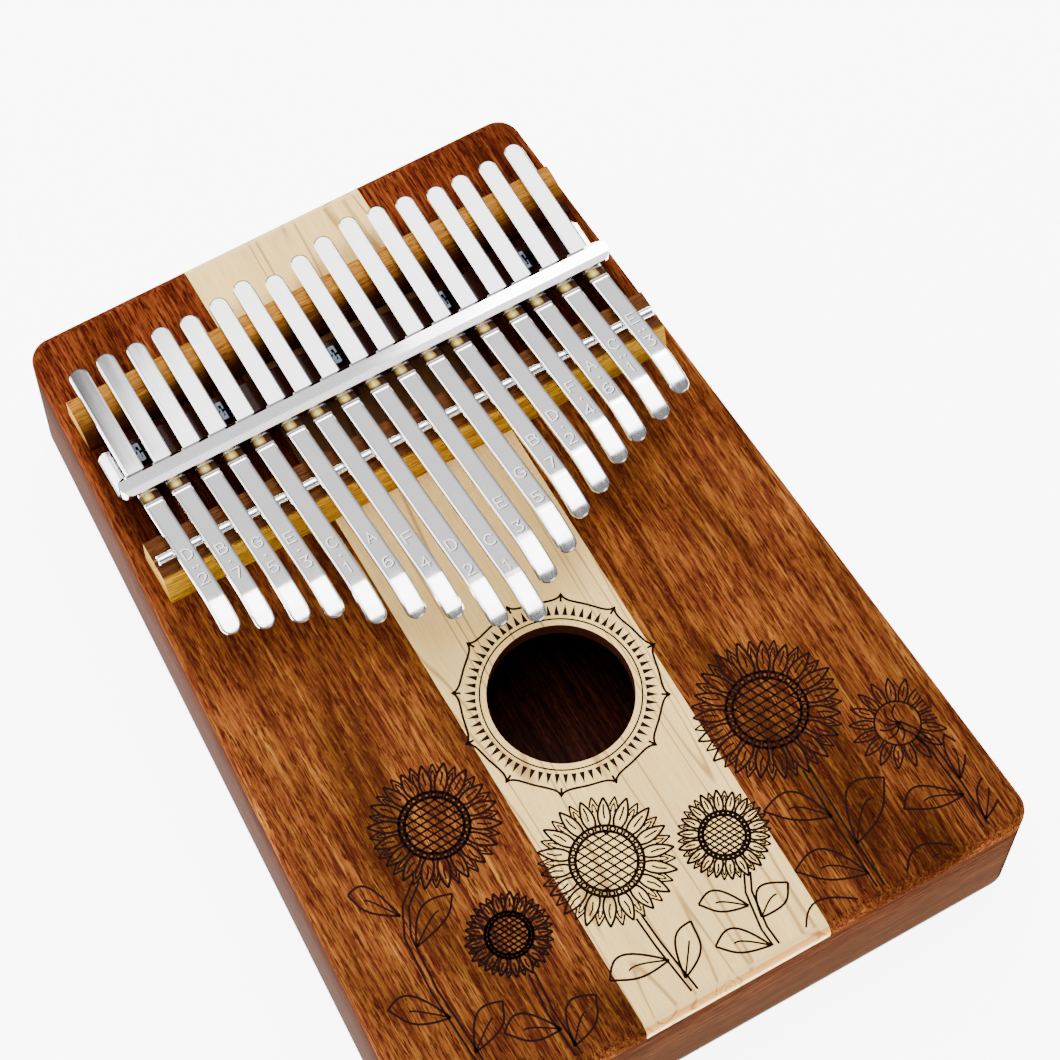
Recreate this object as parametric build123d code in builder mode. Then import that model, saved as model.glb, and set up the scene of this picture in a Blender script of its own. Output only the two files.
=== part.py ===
from build123d import *
import os
from math import atan, cos, radians, sin, tan

os.makedirs("parts", exist_ok=True)

# A 17-tine mbira with a hollow wooden body.  Millimetres.
# X runs to the player's right, Y from the playing end to the tails of the
# tines, Z up.  The origin is the middle of the back face.

# Body
body_length = 185.0
front_width = 132.3
rear_width = 112.0
body_depth = 35.0
corner_radius = 5.0
top_edge_radius = 2.4
back_edge_radius = 2.0
top_thickness = 4.0
back_thickness = 3.0
wall = 6.0
centre_strip_width = 40.0
hole_radius = 14.4
hole_y = -26.4

# Inner block that carries the metalwork
block_width = 98.0
block_front_y = 24.0
block_rear_y = 78.0
block_thickness = 13.0

# Rear bridge, under the tails of the tines
rear_bridge_front_y = 64.7
rear_bridge_rear_y = 74.1
rear_bridge_flat = 1.5
rear_bridge_width = 110.0

# Front bridge, under the saddle rod
front_bridge_front_y = 27.5
front_bridge_rear_y = 38.35
front_bridge_height = 7.3
front_bridge_lean = 2.0
front_bridge_nose = 1.2
front_bridge_width = 112.4

# Saddle rod
rod_y = 33.2
rod_radius = 1.15
rod_length = 111.2
rod_end_chamfer = 0.25

# Tines, numbered from the left
tine_pitch = 6.3
tine_width = 4.1
tine_thickness = 1.0
tail_height = 6.3
tine_slope = 13.6
tip_slope = 19.0
rod_clearance = 0.05
split_gap = 0.1
speaking_lengths = [22.5, 25.0, 27.5, 30.0, 35.5, 38.5, 42.5, 48.5, 51.5,
                    45.0, 41.0, 35.5, 32.5, 28.5, 26.0, 24.0, 20.5]
tail_ends = [79.5, 79.9, 79.2, 79.8, 79.4, 80.0, 81.1, 79.1, 80.6,
             82.1, 83.6, 82.9, 82.1, 81.0, 80.9, 81.0, 81.9]
hand_set = [0.2, 0.0, 0.1, -0.3, -0.4, 0.2, -0.1, -0.2, 0.1,
            -0.1, 0.2, 0.1, 0.0, 0.3, -0.3, -0.1, 0.1]
curl_base = 11.0
curl_share = 0.04

# Pressure bar
bar_y = 50.0
bar_width = 4.6
bar_length = 110.2
bar_top = 9.65
bar_bevel = 1.0
bar_fall = 0.22
bar_crown_radius = 2.4

# Base plate
plate_front_y = 51.3
plate_rear_y = 62.6
plate_length = 109.6
plate_thickness = 1.6
plate_corner = 1.2
plate_bevel = 0.3

# Screws in the base plate, between these pairs of tines
screw_gaps = [1, 4, 8, 12, 15]
screw_y = 58.3
screw_head_radius = 2.6
screw_head_height = 1.6
screw_shank_radius = 1.4
screw_depth = 13.0
recess_length = 2.6
recess_width = 0.55
recess_depth = 0.8

# Studs that pull the pressure bar down from inside the body
stud_radius = 0.75
stud_bite = 1.8
stud_head_radius = 2.6
stud_head_height = 2.0
hole_clearance = 0.1

top_z = body_depth
front_y = -body_length / 2
rear_y = body_length / 2
panel_z = top_z - top_thickness
block_z = panel_z - block_thickness
strip_x = centre_strip_width / 2
slope = radians(tine_slope)
curl = radians(tine_slope + tip_slope)


def half_width(y):
    share = (y - front_y) / body_length
    return (front_width + (rear_width - front_width) * share) / 2


def tine_x(number):
    return (number - 9) * tine_pitch + hand_set[number - 1]


def gap_x(number):
    return (tine_x(number) + tine_x(number + 1)) / 2


outline = [
    (-half_width(front_y), front_y),
    (half_width(front_y), front_y),
    (half_width(rear_y), rear_y),
    (-half_width(rear_y), rear_y),
]
inner_front = front_y + wall
inner_rear = rear_y - wall
cavity = [
    (-half_width(inner_front) + wall, inner_front),
    (half_width(inner_front) - wall, inner_front),
    (half_width(inner_rear) - wall, inner_rear),
    (-half_width(inner_rear) + wall, inner_rear),
]
screw_points = [(gap_x(number), screw_y) for number in screw_gaps]
stud_points = [(gap_x(number), bar_y) for number in screw_gaps]


# ---- the two mahogany strips of the top -----------------------------------
for label, side in (("top_panel_left", -1), ("top_panel_right", 1)):
    with BuildPart() as side_panel:
        with BuildSketch(Plane.XY.offset(panel_z)) as side_sketch:
            with BuildLine():
                Polyline(
                    (side * strip_x, front_y),
                    (side * half_width(front_y), front_y),
                    (side * half_width(rear_y), rear_y),
                    (side * strip_x, rear_y),
                    close=True,
                )
            make_face()
            outer = side_sketch.vertices().sort_by(Axis.X)
            fillet(outer[:2] if side < 0 else outer[-2:], radius=corner_radius)
        extrude(amount=top_thickness)
        rim_edges = side_panel.edges().group_by(Axis.Z)[-1]
        seam = rim_edges.filter_by(Axis.Y)
        fillet([edge for edge in rim_edges if edge not in seam], radius=top_edge_radius)
        with BuildSketch(Plane.XY.offset(panel_z)):
            holes = [point for point in screw_points if side * point[0] > strip_x]
            with Locations(*holes):
                Circle(screw_shank_radius + hole_clearance)
            holes = [point for point in stud_points if side * point[0] > strip_x]
            with Locations(*holes):
                Circle(stud_radius + hole_clearance)
        extrude(amount=top_thickness, mode=Mode.SUBTRACT)
    side_panel.part.label = label
    export_step(side_panel.part, "parts/" + label + ".step")

# ---- the maple strip with the sound hole ----------------------------------
with BuildPart() as top_panel_centre:
    with BuildSketch(Plane.XY.offset(panel_z)):
        Rectangle(centre_strip_width, body_length)
    extrude(amount=top_thickness)
    ends = top_panel_centre.edges().group_by(Axis.Z)[-1].filter_by(Axis.X)
    fillet(ends, radius=top_edge_radius)
    with BuildSketch(Plane.XY.offset(panel_z)):
        with Locations((0, hole_y)):
            Circle(hole_radius)
        with Locations(*[point for point in screw_points if abs(point[0]) < strip_x]):
            Circle(screw_shank_radius + hole_clearance)
        with Locations(*[point for point in stud_points if abs(point[0]) < strip_x]):
            Circle(stud_radius + hole_clearance)
    extrude(amount=top_thickness, mode=Mode.SUBTRACT)
top_panel_centre.part.label = "top_panel_centre"
export_step(top_panel_centre.part, "parts/top_panel_centre.step")

# ---- four walls of the body, mitred at the corners ------------------------
walls = [("rim_front", 0, 1), ("rim_right", 1, 2), ("rim_rear", 2, 3), ("rim_left", 3, 0)]
for label, first, second in walls:
    with BuildPart() as rim:
        with BuildSketch(Plane.XY.offset(back_thickness)) as rim_sketch:
            with BuildLine():
                Polyline(*outline, close=True)
            make_face()
            fillet(rim_sketch.vertices(), radius=corner_radius)
            with BuildLine():
                Polyline(outline[first], outline[second], cavity[second], cavity[first], close=True)
            make_face(mode=Mode.INTERSECT)
        extrude(amount=panel_z - back_thickness)
    rim.part.label = label
    export_step(rim.part, "parts/" + label + ".step")

# ---- back panel ------------------------------------------------------------
with BuildPart() as back_panel:
    with BuildSketch(Plane.XY) as back_sketch:
        with BuildLine():
            Polyline(*outline, close=True)
        make_face()
        fillet(back_sketch.vertices(), radius=corner_radius)
    extrude(amount=back_thickness)
    fillet(back_panel.edges().group_by(Axis.Z)[0], radius=back_edge_radius)
back_panel.part.label = "back_panel"
export_step(back_panel.part, "parts/back_panel.step")

# ---- block under the top that takes the screws and studs ------------------
with BuildPart() as bridge_block:
    with BuildSketch(Plane.XY.offset(block_z)):
        with Locations((0, (block_front_y + block_rear_y) / 2)):
            Rectangle(block_width, block_rear_y - block_front_y)
    extrude(amount=block_thickness)
    with BuildSketch(Plane.XY.offset(panel_z)):
        with Locations(*screw_points):
            Circle(screw_shank_radius + hole_clearance)
    extrude(amount=top_thickness - screw_depth, mode=Mode.SUBTRACT)
    with BuildSketch(Plane.XY.offset(block_z)):
        with Locations(*stud_points):
            Circle(stud_radius + hole_clearance)
    extrude(amount=block_thickness, mode=Mode.SUBTRACT)
bridge_block.part.label = "bridge_block"
export_step(bridge_block.part, "parts/bridge_block.step")

# ---- side view of the tines, shared by the parts they touch ---------------
crown_z = top_z + tail_height + bar_crown_radius
hinge_radius = rod_radius + rod_clearance
line_y = bar_y - bar_crown_radius * sin(slope)
line_z = crown_z - bar_crown_radius * cos(slope)
rod_z = line_z + (line_y - rod_y) * tan(slope) - (hinge_radius + tine_thickness) / cos(slope)
tail_bottom = top_z + tail_height - tine_thickness
bend_y = bar_y - (bar_crown_radius + tine_thickness) * sin(slope)
bend_z = crown_z - (bar_crown_radius + tine_thickness) * cos(slope)


def on_saddle(radius, ahead):
    y = rod_y + radius * sin(slope) - ahead * cos(slope)
    z = rod_z + radius * cos(slope) + ahead * sin(slope)
    return (y, z)


# ---- rear bridge ------------------------------------------------------------
with BuildPart() as rear_bridge:
    with BuildSketch(Plane.YZ):
        with BuildLine():
            shoulder_y = rear_bridge_rear_y - rear_bridge_flat
            Polyline(
                (rear_bridge_front_y, top_z),
                (rear_bridge_rear_y, top_z),
                (rear_bridge_rear_y, tail_bottom),
                (shoulder_y, tail_bottom),
            )
            Bezier(
                (shoulder_y, tail_bottom),
                ((shoulder_y + rear_bridge_front_y) / 2, tail_bottom),
                (rear_bridge_front_y, (top_z + tail_bottom) / 2),
                (rear_bridge_front_y, top_z),
            )
        make_face()
    extrude(amount=rear_bridge_width / 2, both=True)
rear_bridge.part.label = "rear_bridge"
export_step(rear_bridge.part, "parts/rear_bridge.step")

# ---- front bridge, grooved for the rod -------------------------------------
with BuildPart() as front_bridge:
    with BuildSketch(Plane.YZ):
        with BuildLine():
            Polyline(
                (front_bridge_front_y, top_z),
                (front_bridge_rear_y, top_z),
                (front_bridge_rear_y, top_z + front_bridge_height),
                (front_bridge_front_y + front_bridge_lean, top_z + front_bridge_height),
                close=True,
            )
        make_face()
        with Locations((rod_y, rod_z)):
            Circle(rod_radius, mode=Mode.SUBTRACT)
    extrude(amount=front_bridge_width / 2, both=True)
    top_edges = front_bridge.edges().filter_by(Axis.X).group_by(Axis.Z)[-1].sort_by(Axis.Y)
    fillet(top_edges[0], radius=front_bridge_nose)
front_bridge.part.label = "front_bridge"
export_step(front_bridge.part, "parts/front_bridge.step")

# ---- saddle rod --------------------------------------------------------------
with BuildPart() as saddle_rod:
    with BuildSketch(Plane.YZ):
        with Locations((rod_y, rod_z)):
            Circle(rod_radius)
    extrude(amount=rod_length / 2, both=True)
    chamfer(saddle_rod.edges().filter_by(GeomType.CIRCLE), length=rod_end_chamfer)
saddle_rod.part.label = "saddle_rod"
export_step(saddle_rod.part, "parts/saddle_rod.step")

# ---- base plate ----------------------------------------------------------------
with BuildPart() as base_plate:
    with BuildSketch(Plane.XY.offset(top_z)) as plate_sketch:
        with Locations((0, (plate_front_y + plate_rear_y) / 2)):
            Rectangle(plate_length, plate_rear_y - plate_front_y)
        chamfer(plate_sketch.vertices(), length=plate_corner)
    extrude(amount=plate_thickness)
    chamfer(base_plate.edges().group_by(Axis.Z)[-1], length=plate_bevel)
    with BuildSketch(Plane.XY.offset(top_z)):
        with Locations(*screw_points):
            Circle(screw_shank_radius + hole_clearance)
    extrude(amount=plate_thickness, mode=Mode.SUBTRACT)
base_plate.part.label = "base_plate"
export_step(base_plate.part, "parts/base_plate.step")

# ---- pressure bar, crowned underneath --------------------------------------
with BuildPart() as pressure_bar:
    bar_half = bar_width / 2
    crown_rise = bar_crown_radius - (bar_crown_radius ** 2 - bar_half ** 2) ** 0.5
    shoulder_z = top_z + tail_height + crown_rise
    with BuildSketch(Plane.YZ):
        with BuildLine():
            Polyline(
                (bar_y + bar_half, shoulder_z),
                (bar_y + bar_half, top_z + bar_top - bar_fall - bar_bevel),
                (bar_y + bar_half - bar_bevel, top_z + bar_top - bar_fall),
                (bar_y - bar_half + bar_bevel, top_z + bar_top),
                (bar_y - bar_half, top_z + bar_top - bar_bevel),
                (bar_y - bar_half, shoulder_z),
            )
            ThreePointArc(
                (bar_y - bar_half, shoulder_z),
                (bar_y, top_z + tail_height),
                (bar_y + bar_half, shoulder_z),
            )
        make_face()
    extrude(amount=bar_length / 2, both=True)
    with BuildSketch(Plane.XY.offset(top_z)):
        with Locations((0, bar_y)):
            SlotOverall(bar_length, bar_width)
    extrude(amount=bar_top, mode=Mode.INTERSECT)
    with BuildSketch(Plane.XY.offset(top_z)):
        with Locations(*stud_points):
            Circle(stud_radius + hole_clearance)
    extrude(amount=tail_height + stud_bite, mode=Mode.SUBTRACT)
pressure_bar.part.label = "pressure_bar"
export_step(pressure_bar.part, "parts/pressure_bar.step")

# ---- five pan-head screws in the base plate --------------------------------
with BuildPart() as base_plate_screws:
    with BuildSketch(Plane.XY.offset(top_z + plate_thickness)):
        with Locations(*screw_points):
            Circle(screw_head_radius)
    extrude(amount=screw_head_height, taper=18)
    with BuildSketch(Plane.XY.offset(top_z + plate_thickness)):
        with Locations(*screw_points):
            Circle(screw_shank_radius)
    extrude(amount=-(plate_thickness + screw_depth))
    with BuildSketch(Plane.XY.offset(top_z + plate_thickness + screw_head_height)):
        with Locations(*screw_points):
            Rectangle(recess_length, recess_width)
            Rectangle(recess_width, recess_length)
    extrude(amount=-recess_depth, mode=Mode.SUBTRACT)
base_plate_screws.part.label = "base_plate_screws"
export_step(base_plate_screws.part, "parts/base_plate_screws.step")

# ---- five studs under the pressure bar --------------------------------------
with BuildPart() as bar_studs:
    with BuildSketch(Plane.XY.offset(block_z - stud_head_height)):
        with Locations(*stud_points):
            RegularPolygon(stud_head_radius, 6)
    extrude(amount=stud_head_height)
    with BuildSketch(Plane.XY.offset(block_z)):
        with Locations(*stud_points):
            Circle(stud_radius)
    extrude(amount=top_z - block_z + tail_height + stud_bite)
bar_studs.part.label = "bar_studs"
export_step(bar_studs.part, "parts/bar_studs.step")

# ---- tines: clamped tail and springing key of each -------------------------
for number in range(1, 18):
    centre_x = tine_x(number)
    tail_end = tail_ends[number - 1]
    tip_y = rod_y - speaking_lengths[number - 1]
    curl_length = curl_base + curl_share * speaking_lengths[number - 1]
    curl_radius = curl_length / curl
    inner_radius = curl_radius - tine_thickness
    tip_turn = curl - slope
    curl_y = tip_y + curl_radius * sin(tip_turn)
    start_y = curl_y + curl_radius * sin(slope)
    start_z = line_z + (line_y - start_y) * tan(slope)
    curl_z = start_z - curl_radius * cos(slope)

    with BuildPart() as tail:
        with BuildSketch(Plane.YZ.offset(centre_x - tine_width / 2)):
            with BuildLine():
                Polyline(
                    (bar_y, tail_bottom),
                    (tail_end, tail_bottom),
                    (tail_end, top_z + tail_height),
                    (bar_y, top_z + tail_height),
                )
                ThreePointArc(
                    (bar_y, top_z + tail_height),
                    (bar_y - bar_crown_radius * sin(slope / 2),
                     crown_z - bar_crown_radius * cos(slope / 2)),
                    (line_y, line_z),
                )
                Polyline(
                    (line_y, line_z),
                    on_saddle(hinge_radius + tine_thickness, 0),
                    on_saddle(hinge_radius, 0),
                    (bend_y, bend_z),
                )
                ThreePointArc(
                    (bend_y, bend_z),
                    (bar_y - (bar_crown_radius + tine_thickness) * sin(slope / 2),
                     crown_z - (bar_crown_radius + tine_thickness) * cos(slope / 2)),
                    (bar_y, tail_bottom),
                )
            make_face()
        extrude(amount=tine_width)
        with BuildSketch(Plane.XY.offset(top_z)):
            with Locations((centre_x, tail_end - body_length / 2)):
                SlotOverall(body_length, tine_width, rotation=90)
        extrude(amount=2 * tail_height, mode=Mode.INTERSECT)
    tail.part.label = f"tine_{number:02d}_tail"
    export_step(tail.part, f"parts/tine_{number:02d}_tail.step")

    with BuildPart() as key:
        with BuildSketch(Plane.YZ.offset(centre_x - tine_width / 2)):
            with BuildLine():
                Polyline(
                    (start_y - tine_thickness * sin(slope), start_z - tine_thickness * cos(slope)),
                    on_saddle(hinge_radius, split_gap),
                    on_saddle(hinge_radius + tine_thickness, split_gap),
                    (start_y, start_z),
                )
                middle = slope - curl / 2
                ThreePointArc(
                    (start_y, start_z),
                    (curl_y + curl_radius * sin(middle), curl_z + curl_radius * cos(middle)),
                    (tip_y, curl_z + curl_radius * cos(tip_turn)),
                )
                Line(
                    (tip_y, curl_z + curl_radius * cos(tip_turn)),
                    (curl_y - inner_radius * sin(tip_turn), curl_z + inner_radius * cos(tip_turn)),
                )
                ThreePointArc(
                    (curl_y - inner_radius * sin(tip_turn), curl_z + inner_radius * cos(tip_turn)),
                    (curl_y + inner_radius * sin(middle), curl_z + inner_radius * cos(middle)),
                    (start_y - tine_thickness * sin(slope), start_z - tine_thickness * cos(slope)),
                )
            make_face()
        extrude(amount=tine_width)
        with BuildSketch(Plane.XY.offset(top_z)):
            with Locations((centre_x, tip_y + body_length / 2)):
                SlotOverall(body_length, tine_width, rotation=90)
        extrude(amount=body_depth, mode=Mode.INTERSECT)
    key.part.label = f"tine_{number:02d}_key"
    export_step(key.part, f"parts/tine_{number:02d}_key.step")
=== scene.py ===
import math
import bpy
import bmesh
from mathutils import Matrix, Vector


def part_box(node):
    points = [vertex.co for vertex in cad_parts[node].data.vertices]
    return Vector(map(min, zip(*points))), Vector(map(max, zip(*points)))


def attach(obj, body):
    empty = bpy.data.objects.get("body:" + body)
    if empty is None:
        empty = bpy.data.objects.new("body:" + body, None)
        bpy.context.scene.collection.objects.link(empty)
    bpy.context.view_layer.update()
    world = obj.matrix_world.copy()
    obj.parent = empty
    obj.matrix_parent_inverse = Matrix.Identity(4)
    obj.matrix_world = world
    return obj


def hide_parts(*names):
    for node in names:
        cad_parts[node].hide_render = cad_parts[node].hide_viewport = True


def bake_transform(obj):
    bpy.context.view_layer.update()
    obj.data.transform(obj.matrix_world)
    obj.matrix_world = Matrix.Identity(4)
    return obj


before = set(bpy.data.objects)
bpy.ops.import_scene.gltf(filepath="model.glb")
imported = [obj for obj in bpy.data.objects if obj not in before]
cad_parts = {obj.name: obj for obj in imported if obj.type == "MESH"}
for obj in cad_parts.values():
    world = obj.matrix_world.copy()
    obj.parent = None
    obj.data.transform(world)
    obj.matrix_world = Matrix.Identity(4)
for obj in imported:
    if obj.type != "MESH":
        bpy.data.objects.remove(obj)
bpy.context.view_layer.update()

MM = 0.001
ROOT = "instrument"
COUNT = 17

# ---- what the CAD says ------------------------------------------------------
panel_low, panel_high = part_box("top_panel_centre")
TOP = panel_high.z
FRONT = panel_low.y
REAR = panel_high.y
rod_low, rod_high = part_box("saddle_rod")
ROD_Y = (rod_low.y + rod_high.y) / 2
bar_low, bar_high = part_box("pressure_bar")
BAR_Y = (bar_low.y + bar_high.y) / 2
front_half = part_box("rim_front")[1].x
rear_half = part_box("rim_rear")[1].x

# section and bends of the tines
THICK = 1.0 * MM
CROWN = 2.4 * MM
SLOPE = math.radians(13.6)
TIP = math.radians(19.0)
CURL_BASE = 11.0 * MM
CURL_SHARE = 0.04
BEVEL = 0.42 * MM

# centre of the sound hole
HOLE = (0.0, -26.4 * MM)


# ---- node helpers -----------------------------------------------------------
WHITE = (1.0, 1.0, 1.0)


class Shader:
    """A material with one Principled shader and short ways to add nodes."""

    def __init__(self, name):
        self.material = bpy.data.materials.new(name)
        self.material.use_nodes = True
        self.tree = self.material.node_tree
        self.tree.nodes.clear()
        self.out = self.tree.nodes.new("ShaderNodeOutputMaterial")
        self.bsdf = self.tree.nodes.new("ShaderNodeBsdfPrincipled")
        self.link(self.bsdf.outputs[0], self.out.inputs[0])
        self.coord = None

    def link(self, a, b):
        self.tree.links.new(a, b)

    def node(self, kind, **props):
        made = self.tree.nodes.new(kind)
        for key, value in props.items():
            setattr(made, key, value)
        return made

    def set(self, **values):
        for key, value in values.items():
            self.bsdf.inputs[key.replace("_", " ")].default_value = value
        return self

    def space(self, x, y, z, turn=0.0):
        """Object space divided so that one unit is x, y, z millimetres."""
        if self.coord is None:
            self.coord = self.node("ShaderNodeTexCoord")
        mapping = self.node("ShaderNodeMapping")
        mapping.inputs["Scale"].default_value = (1 / (x * MM), 1 / (y * MM), 1 / (z * MM))
        source = self.coord.outputs["Object"]
        if turn:
            first = self.node("ShaderNodeMapping")
            first.inputs["Rotation"].default_value = (0, 0, turn)
            self.link(source, first.inputs["Vector"])
            source = first.outputs["Vector"]
        self.link(source, mapping.inputs["Vector"])
        return mapping.outputs["Vector"]

    def place(self):
        """Object-space X, Y and Z, one unit to 100 mm."""
        parts = self.node("ShaderNodeSeparateXYZ")
        self.link(self.space(100, 100, 100), parts.inputs[0])
        return parts.outputs

    def facing(self):
        """X, Y and Z of the object-space normal."""
        parts = self.node("ShaderNodeSeparateXYZ")
        if self.coord is None:
            self.coord = self.node("ShaderNodeTexCoord")
        self.link(self.coord.outputs["Normal"], parts.inputs[0])
        return parts.outputs

    def noise(self, vector, detail=3.0, roughness=0.5, distortion=0.0, seed=0.0):
        made = self.node("ShaderNodeTexNoise", noise_dimensions="4D")
        made.inputs["Scale"].default_value = 1.0
        made.inputs["Detail"].default_value = detail
        made.inputs["Roughness"].default_value = roughness
        made.inputs["Distortion"].default_value = distortion
        made.inputs["W"].default_value = seed
        self.link(vector, made.inputs["Vector"])
        return made.outputs["Fac"]

    def ramp(self, value, *stops):
        made = self.node("ShaderNodeValToRGB")
        ramp = made.color_ramp
        while len(ramp.elements) < len(stops):
            ramp.elements.new(0.5)
        for element, (place, colour) in zip(ramp.elements, stops):
            element.position = place
            if not isinstance(colour, tuple):
                colour = (colour, colour, colour)
            element.color = (*colour, 1.0)
        self.link(value, made.inputs["Fac"])
        return made.outputs["Color"]

    def mix(self, factor, first, second, kind="MIX"):
        made = self.node("ShaderNodeMix", data_type="RGBA", blend_type=kind)
        for socket, value in ((0, factor), (6, first), (7, second)):
            if isinstance(value, (int, float)):
                made.inputs[socket].default_value = value
            elif isinstance(value, tuple):
                made.inputs[socket].default_value = (*value, 1.0)
            else:
                self.link(value, made.inputs[socket])
        return made.outputs[2]

    def math(self, operation, first, second):
        made = self.node("ShaderNodeMath", operation=operation)
        for socket, value in ((0, first), (1, second)):
            if isinstance(value, (int, float)):
                made.inputs[socket].default_value = value
            else:
                self.link(value, made.inputs[socket])
        return made.outputs[0]

    def colour(self, source):
        self.link(source, self.bsdf.inputs["Base Color"])

    def bump(self, height, strength, distance):
        made = self.node("ShaderNodeBump")
        made.inputs["Strength"].default_value = strength
        made.inputs["Distance"].default_value = distance * MM
        self.link(height, made.inputs["Height"])
        self.link(made.outputs["Normal"], self.bsdf.inputs["Normal"])


def paint_edge_highlight_and_shade(s, base, light, dark):
    """A painted highlight line where the flat top starts to turn over, with painted shade further down and
    on faces turned to the right.
    """
    rightward, _, upward = s.facing()
    painted_rounding_shade = s.ramp(upward, (0.02, 0.0), (0.20, 1.0), (0.76, 1.0), (0.84, 0.0))
    base = s.mix(painted_rounding_shade, base, dark, "MULTIPLY")
    base = s.mix(s.ramp(rightward, (0.12, 0.0), (0.40, 1.0)), base, dark, "MULTIPLY")
    line = s.ramp(upward, (0.84, 0.0), (0.90, 0.80), (0.965, 0.70), (0.988, 0.0))
    line = s.math("MULTIPLY", line, s.ramp(rightward, (0.06, 1.0), (0.16, 0.0)))
    return s.mix(line, base, light)


def painted_shade_under_tines(s, base, reach, tone):
    """Painted shade that darkens the wood in the strip below the tines, out to reach mm either side."""
    x, y, _ = s.place()
    strip = s.ramp(y, (0.300, 0.0), (0.380, 1.0), (0.664, 1.0), (0.690, 0.0))
    away = s.ramp(s.math("ABSOLUTE", x, 0.0), (reach / 100 - 0.02, 1.0), (reach / 100, 0.0))
    return s.mix(s.math("MULTIPLY", strip, away), base, tone, "MULTIPLY")


def dark_wood(name, seed, tint, along="y", figure=0.35, gloss=0.40, shine=0.0, edge=False, wall_sheen=None):
    """Red-brown hardwood with long pores along the grain and cloudy figure.

    edge is set for a panel of the top, and adds painted shade under the tines; the last argument, for an
    upright wall, is the colour of a painted sheen low on it, and such a wall also gets a painted highlight
    and painted shade at its rounded edge.
    """
    s = Shader(name)

    def cells(across, length):
        return (across, length, across) if along == "y" else (length, across, across)

    cloud = s.noise(s.space(*cells(15, 48)), 3, 0.55, 0.9, seed)
    streak = s.noise(s.space(*cells(0.8, 15)), 4, 0.64, 0.30, seed + 3)
    pore = s.noise(s.space(*cells(0.30, 3.4)), 2.5, 0.65, 0.1, seed + 7)
    fleck = s.noise(s.space(*cells(0.60, 1.4)), 2, 0.5, 0.0, seed + 9)
    base = s.ramp(
        streak,
        (0.30, (0.040, 0.007, 0.004)),
        (0.43, (0.150, 0.038, 0.010)),
        (0.56, (0.300, 0.100, 0.017)),
        (0.70, (0.500, 0.215, 0.032)),
    )
    shade = s.ramp(cloud, (0.38, 1.0 - figure), (0.50, 0.86), (0.62, 1.18))
    base = s.mix(1.0, base, shade, "MULTIPLY")
    dark = s.ramp(pore, (0.48, 0.0), (0.60, 0.95))
    base = s.mix(dark, base, (0.050, 0.007, 0.004))
    light = s.ramp(fleck, (0.56, 0.0), (0.74, 0.20))
    base = s.mix(light, base, (0.54, 0.24, 0.030))
    base = s.mix(1.0, base, tint, "MULTIPLY")
    if edge:
        length = s.math("MULTIPLY", s.math("ADD", s.place()[1], 0.95), 0.5)
        tone = s.ramp(
            length,
            (0.0, (0.60, 0.58, 0.66)),
            (0.18, (0.84, 0.84, 0.88)),
            (0.40, (0.95, 0.95, 0.95)),
            (0.85, (0.62, 0.44, 0.52)),
        )
        base = s.mix(1.0, base, tone, "MULTIPLY")
        # painted shade under the tines
        base = painted_shade_under_tines(s, base, 57.0, (0.30, 0.22, 0.25))
    if wall_sheen:
        # painted sheen: the wall colour is mixed in, most at the bottom
        painted_sheen_share = s.ramp(s.place()[2], (0.0, 0.65), (0.18, 0.50), (0.31, 0.15))
        base = s.mix(painted_sheen_share, base, wall_sheen)
        # painted highlight and painted shade at the rounded edge
        base = paint_edge_highlight_and_shade(s, base, (0.80, 0.38, 0.060), (0.34, 0.24, 0.22))
    s.colour(base)
    rough = s.ramp(pore, (0.45, gloss), (0.68, gloss + 0.22))
    s.link(rough, s.bsdf.inputs["Roughness"])
    s.bump(s.ramp(pore, (0.48, 1.0), (0.66, 0.0)), 0.35, 0.06)
    s.set(Specular_IOR_Level=shine)
    return s.material


def maple_wood(name):
    """Pale close-grained wood with a few thin brown growth lines."""
    s = Shader(name)
    cloud = s.noise(s.space(11, 70, 11), 3, 0.5, 0.3, 2)
    fibre = s.noise(s.space(0.35, 7, 0.35), 3, 0.6, 0.0, 5)
    speck = s.noise(s.space(0.40, 0.9, 0.4), 2, 0.6, 0.0, 11)
    base = s.ramp(
        fibre,
        (0.30, (0.900, 0.560, 0.180)),
        (0.48, (0.980, 0.655, 0.225)),
        (0.68, (1.000, 0.760, 0.300)),
    )
    base = s.mix(1.0, base, s.ramp(cloud, (0.34, 0.88), (0.62, 1.05)), "MULTIPLY")
    line = s.noise(s.space(9.5, 170, 9.5), 1, 0.40, 0.30, 17)
    for level in (0.43, 0.495, 0.56):
        gap = s.math("ABSOLUTE", s.math("SUBTRACT", line, level), 0.0)
        mark = s.ramp(gap, (0.0, 0.75), (0.005, 0.50), (0.009, 0.0))
        base = s.mix(mark, base, (0.300, 0.140, 0.045))
    base = s.mix(s.ramp(speck, (0.60, 0.0), (0.76, 0.30)), base, (0.42, 0.24, 0.10))
    # painted shade under the tines
    base = painted_shade_under_tines(s, base, 30.0, (0.085, 0.050, 0.045))
    # painted shade on the wall of the sound hole
    upright = s.ramp(s.facing()[2], (0.05, 1.0), (0.15, 0.0))
    near = s.math("ABSOLUTE", s.math("ADD", s.place()[1], -HOLE[1] / (100 * MM)), 0.0)
    near = s.ramp(near, (0.15, 1.0), (0.16, 0.0))
    base = s.mix(s.math("MULTIPLY", upright, near), base, (0.085, 0.022, 0.012))
    # painted highlight and painted shade at the rounded edge
    s.colour(paint_edge_highlight_and_shade(s, base, (0.86, 0.56, 0.25), (0.70, 0.50, 0.34)))
    s.bump(fibre, 0.12, 0.04)
    s.set(Roughness=0.42, Specular_IOR_Level=0.03)
    return s.material


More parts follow.
